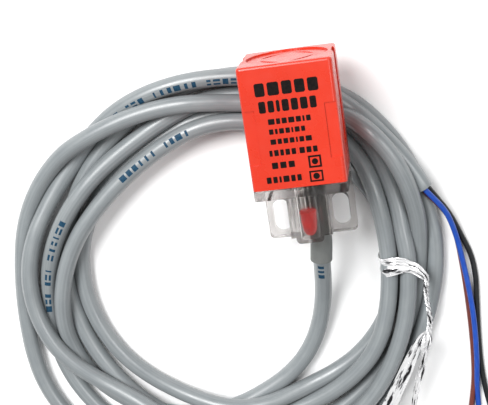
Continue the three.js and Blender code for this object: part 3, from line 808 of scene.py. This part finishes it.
# Material, record slot, place in the jacket's end (aside and above its middle), and course.
WIRES = {
    "wire_blue": (BLUE, "blue_jacket", -0.10, 0.95, [
        (37.2, -52.4, -17.6), (39.5, -60.6, -20.0), (40.8, -69.9, -21.0), (41.7, -79.0, -21.0),
        (42.1, -88.2, -21.0), (41.8, -99.0, -21.2), (41.2, -106.5, -21.6),
        (41.0, -110.5, -22.3), (40.9, -114.5, WIRE_FLOOR), (40.7, -118, WIRE_FLOOR)]),
    "wire_brown": (BROWN, "brown_jacket", 0.55, -0.75, [
        (37.4, -53.4, -19.6), (39.5, -61.0, -21.9), (40.4, -69.9, WIRE_FLOOR),
        (40.9, -79.0, WIRE_FLOOR), (41.1, -88.2, WIRE_FLOOR), (41.0, -97.0, WIRE_FLOOR),
        (40.3, -107.0, WIRE_FLOOR), (38.2, -118, WIRE_FLOOR)]),
    "wire_black": (BLACK, "black_jacket", -0.95, -0.55, [
        (38.0, -53.2, -19.8), (41.0, -61.1, -21.8), (43.2, -67.8, WIRE_FLOOR),
        (43.9, -74.4, WIRE_FLOOR), (43.6, -81.3, WIRE_FLOOR), (43.1, -91.0, WIRE_FLOOR),
        (42.9, -101.0, WIRE_FLOOR), (43.4, -109.4, WIRE_FLOOR), (44.6, -118, WIRE_FLOOR)]),
}
STRIP_LENGTH = 6
STRANDS = 7  # six round one
STRAND_R = 0.2
STRAND_SIDES = 7
STRAND_STEPS = 16
LAY_R = 0.36  # from the wire's middle to the outer strands
LAY_SPREAD = 0.35  # how much wider they lie at the end
LAY_TURN = 2.6  # how far they wind round, in radians
UNEVEN = 0.35  # steps between the strands' lengths


def stranded_tip(name, start, way):
    """Fine tinned strands, slightly twisted, at the bared end of a wire."""
    points, faces = [], []
    angles = np.linspace(0, 2 * math.pi, STRAND_SIDES, endpoint=False)
    side = np.array([way[1], -way[0], 0.0])
    up = np.cross(side, way)
    for strand in range(STRANDS):
        length = STRIP_LENGTH - UNEVEN * (strand % 3)
        first = len(points)
        for k in range(STRAND_STEPS + 1):
            t = k / STRAND_STEPS
            turn = strand * math.pi / 3 + LAY_TURN * t
            off = 0 if strand == STRANDS - 1 else LAY_R * (1 + LAY_SPREAD * t)
            centre = start + way * (length * t) + off * (math.cos(turn) * side + math.sin(turn) * up)
            points.extend(ring_of(centre, up, side, STRAND_R, angles))
        for k in range(STRAND_STEPS):
            for a in range(STRAND_SIDES):
                b = (a + 1) % STRAND_SIDES
                low = first + k * STRAND_SIDES
                high = low + STRAND_SIDES
                faces.append((low + a, low + b, high + b, high + a))
        faces.append(tuple(reversed(range(first, first + STRAND_SIDES))))
        last = first + STRAND_STEPS * STRAND_SIDES
        faces.append(tuple(range(last, last + STRAND_SIDES)))
    return finish_piece(make_object(name, points, faces), TINNED)


for name, (material, slot, aside, above, course) in WIRES.items():
    inside = jacket_end - BACK_IN_JACKET * jacket_way + aside * jacket_side + above * UP
    mouth = jacket_end + OUT_OF_JACKET * jacket_way + aside * jacket_side + above * UP
    line = spline([inside, mouth, *course], WIRE_STEP)
    wire = tube(name + "_insulation", line, WIRE_R, WIRE_SIDES,
                end_profile=[(0.96, 0.05), (0.6, 0.08)])
    finish_piece(wire, material)
    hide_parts(name)
    way = line[-1] - line[-3]
    way /= np.linalg.norm(way)
    tip_node = name.replace("wire_", "wire_tip_")
    tip = stranded_tip(tip_node + "_strands", line[-1], way)
    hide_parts(tip_node)

# ---- Indicator lens -----------------------------------------------------------------------

LED_Z = 0.3
LENS_TOP = -42.2
# Distance below the top and radius, from the rim to the rounded tip.
LENS_PROFILE = [(0.0, 0.0), (0.0, 2.4), (0.12, 2.6), (0.3, 2.7), (0.9, 2.7), (1.05, 2.62),
                (1.2, 2.54), (3.0, 2.44), (5.0, 2.24), (6.1, 1.90), (6.8, 1.45), (7.25, 0.85),
                (7.48, 0.0)]
LENS_SIDES = 48
RIM_DEPTH = 1.2
FLAT_AT = 2.45  # distance of the rim's flat from the axis
STEEPEST = 0.3  # least cosine the flat is worked out for


def lens_radius(down, radius, angle):
    """The radius with a flat on the rim, as on any such indicator."""
    if 0 < down < RIM_DEPTH:
        return min(radius, FLAT_AT / max(math.cos(angle - math.pi), STEEPEST))
    return radius


def indicator_lens():
    """A turned lens with a rim, a gentle taper and a rounded tip; its axis runs along Y."""
    points, faces, starts = [], [], []
    for down, radius in LENS_PROFILE:
        starts.append(len(points))
        for k in range(LENS_SIDES if radius else 1):
            a = 2 * math.pi * k / LENS_SIDES
            r = lens_radius(down, radius, a)
            points.append((r * math.cos(a), LENS_TOP - down, LED_Z + r * math.sin(a)))
    for i in range(len(LENS_PROFILE) - 1):
        low, high = starts[i], starts[i + 1]
        for k in range(LENS_SIDES):
            m = (k + 1) % LENS_SIDES
            if LENS_PROFILE[i][1] == 0:
                faces.append((low, high + k, high + m))
            elif LENS_PROFILE[i + 1][1] == 0:
                faces.append((low + m, low + k, high))
            else:
                faces.append((low + k, high + k, high + m, low + m))
    return make_object("indicator_lens", points, faces)


lens = finish_piece(indicator_lens(), RED)
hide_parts("indicator_led")

# ---- Label printing -----------------------------------------------------------------------

LABEL_Z = 12.5
PRINT_Z = LABEL_Z + 0.03
LABEL_TOP = 0.5  # upper edge of the label face
DISC_SIDES = 24
DISC_SHARE = 0.24  # of the square's width

# Rows of blocks: left, right, top, bottom, the blocks' widths as shares, gap, corner cut.
LABEL_ROWS = [
    (-8.3, 8.2, 4.5, 8.0, [1, 1.15, 1, 1, 1.05], 0.75, 0.35),
    (-7.8, 7.2, 9.3, 12.4, [1, 0.9, 0.5, 1, 1, 1.05, 0.95], 0.6, 0.3),
    (-5.9, 5.2, 14.1, 15.6, [1.3, 0.8, 1, 1.2, 1, 0.4, 0.9], 0.42, 0.12),
    (-6.0, 3.4, 16.8, 18.2, [1, 0.6, 1.1, 1, 0.4, 1.1, 0.9], 0.42, 0.12),
    (-6.0, 4.8, 19.5, 20.9, [1.2, 0.9, 1, 1, 0.4, 1, 1.3], 0.42, 0.12),
    (-6.7, 5.9, 22.4, 24.0, [0.7, 1, 0.8, 1, 1, 0.01, 1.2, 1.1, 1], 0.45, 0.12),
    (-6.5, -0.5, 25.7, 27.4, [1, 1, 1], 0.6, 0.14),
    (-8.4, 0.8, 29.5, 31.2, [1.1, 1, 0.5, 1.4, 1, 1], 0.5, 0.14),
]
# Square marks: left, right, top, bottom, line width.
SQUARE_MARKS = [(3.1, 6.5, 24.9, 28.2, 0.5), (2.9, 6.5, 29.0, 32.0, 0.45)]


def plate(mesh, x0, x1, top, bottom, cut=0.0):
    """A flat printed rectangle; top and bottom are measured down from the label's upper edge."""
    points, faces = mesh
    y0, y1 = LABEL_TOP - bottom, LABEL_TOP - top
    start = len(points)
    if cut:
        outline = [(x0 + cut, y0), (x1 - cut, y0), (x1, y0 + cut), (x1, y1 - cut),
                   (x1 - cut, y1), (x0 + cut, y1), (x0, y1 - cut), (x0, y0 + cut)]
    else:
        outline = [(x0, y0), (x1, y0), (x1, y1), (x0, y1)]
    points.extend((x, y, PRINT_Z) for x, y in outline)
    faces.append(tuple(range(start, start + len(outline))))


def block_row(mesh, x0, x1, top, bottom, blocks, gap, cut):
    unit = (x1 - x0 - gap * (len(blocks) - 1)) / sum(blocks)
    x = x0
    for block in blocks:
        plate(mesh, x, x + unit * block, top, bottom, cut)
        x += unit * block + gap


def square_mark(mesh, x0, x1, top, bottom, line):
    """A square outline with a disc inside."""
    plate(mesh, x0, x1, top, top + line)
    plate(mesh, x0, x1, bottom - line, bottom)
    plate(mesh, x0, x0 + line, top + line, bottom - line)
    plate(mesh, x1 - line, x1, top + line, bottom - line)
    points, faces = mesh
    start = len(points)
    centre = ((x0 + x1) / 2, LABEL_TOP - (top + bottom) / 2)
    r = DISC_SHARE * (x1 - x0)
    for k in range(DISC_SIDES):
        a = 2 * math.pi * k / DISC_SIDES
        points.append((centre[0] + r * math.cos(a), centre[1] + r * math.sin(a), PRINT_Z))
    faces.append(tuple(range(start, start + DISC_SIDES)))


def label_print():
    """Rows of plain blocks and bars in place of lettering, and two plain square marks."""
    mesh = [], []
    for row in LABEL_ROWS:
        block_row(mesh, *row)
    for mark in SQUARE_MARKS:
        square_mark(mesh, *mark)
    return make_object("label_print", *mesh, smooth=False)


finish_piece(label_print(), LABEL_INK)

# ---- Floor and light ----------------------------------------------------------------------

FLOOR_HALF = 3000
FLOOR_DROP = 0.02  # below the lowest piece
LIGHT_AIM = Vector((0, -0.05, -0.02))
WORLD_STRENGTH = 0.33


def floor():
    z = FLOOR_Z - FLOOR_DROP
    corners = [(x * FLOOR_HALF, y * FLOOR_HALF, z) for x, y in ((-1, -1), (1, -1), (1, 1), (-1, 1))]
    obj = make_object("floor", corners, [(0, 1, 2, 3)], smooth=False)
    n = Nodes("floor_paper")
    place = n.object_coordinates()
    n.mottle(n.noise(place, 40, 3), (0.90, 0.90, 0.90), (0.93, 0.93, 0.93))
    n.roughness(n.spread(n.noise(place, 300, 2), 0.7, 0.85))
    n.set(Specular_IOR_Level=0.2)
    obj.data.materials.append(n.material)


def area_light(name, at, size, power):
    data = bpy.data.lights.new(name, "AREA")
    data.shape = "DISK"
    data.size = size
    data.energy = power
    obj = bpy.data.objects.new(name, data)
    bpy.context.scene.collection.objects.link(obj)
    obj.location = at
    obj.rotation_euler = (LIGHT_AIM - Vector(at)).to_track_quat("-Z", "Y").to_euler()


floor()
area_light("key_light", (-0.38, 0.50, 0.92), 0.62, 17.5)
area_light("fill_light", (0.55, 0.05, 0.95), 0.5, 4.0)

world = bpy.data.worlds.new("studio")
world.use_nodes = True
background = world.node_tree.nodes["Background"]
background.inputs["Color"].default_value = (1, 1, 1, 1)
background.inputs["Strength"].default_value = WORLD_STRENGTH
bpy.context.scene.world = world
bpy.context.scene.view_settings.view_transform = "Standard"
